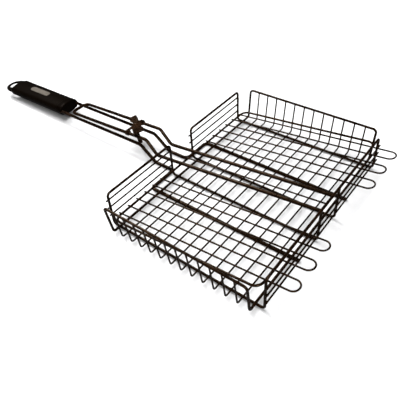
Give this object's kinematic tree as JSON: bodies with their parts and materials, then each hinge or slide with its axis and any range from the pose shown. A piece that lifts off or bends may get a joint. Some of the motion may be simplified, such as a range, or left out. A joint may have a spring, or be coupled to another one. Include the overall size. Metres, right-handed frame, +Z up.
{
  "type": "grill basket",
  "caption": "Wire grill basket: a folded wire tray, a drop-in wire lid with finger loops, paired handle rods with a turn latch, and a moulded grip.",
  "frame": {"origin": "on the grate under the middle of the tray, level with the lowest wires", "axes": "+Z up; the handle points along -X and the lid's finger loops along +X; Y is across the handle"},
  "size_m": [0.6504, 0.3138, 0.0537],
  "materials": {
    "coated_wire": "dark brown non-stick coating, satin",
    "coated_sheet": "brown non-stick coating on sheet steel, satin",
    "grip_black": "moulded heat-resistant plastic, fine texture",
    "collar_black": "moulded heat-resistant plastic, smooth matte",
    "plate_metal": "fine brushed, blank",
    "plain_steel": "zinc plated"
  },
  "bodies": {
    "tray": {"cross_frame": "coated_wire", "cross_wires": "coated_wire", "side_frame": "coated_wire", "handle_end_wires": "coated_wire", "finger_end_wires": "coated_wire", "handle_rod": "coated_wire", "grip_top": "grip_black", "grip_bottom": "grip_black", "grip_collar": "collar_black", "grip_plate": "plate_metal", "grip_screws": "plain_steel"},
    "lid": {"lid_frame": "coated_wire", "lid_finger_wires": "coated_wire", "lid_centre_wire": "coated_wire", "lid_handle_rod": "coated_wire", "latch_strap": "coated_sheet"},
    "latch": {"latch_turn": "coated_sheet", "latch_washer": "plain_steel", "latch_pivot": "coated_sheet", "latch_bar": "coated_sheet"}
  },
  "joints": [
    {"name": "lid_lift", "type": "hinge", "parent": "tray", "child": "lid", "pos_m": [0.11145, 0, 0.0404], "axis": [0, 1, 0], "range_deg": [0, 45]},
    {"name": "latch_turn", "type": "hinge", "parent": "lid", "child": "latch", "pos_m": [-0.195, 0, 0.0349], "axis": [-0.0599, 0, 0.9982], "range_deg": [-55, 35]}
  ]
}
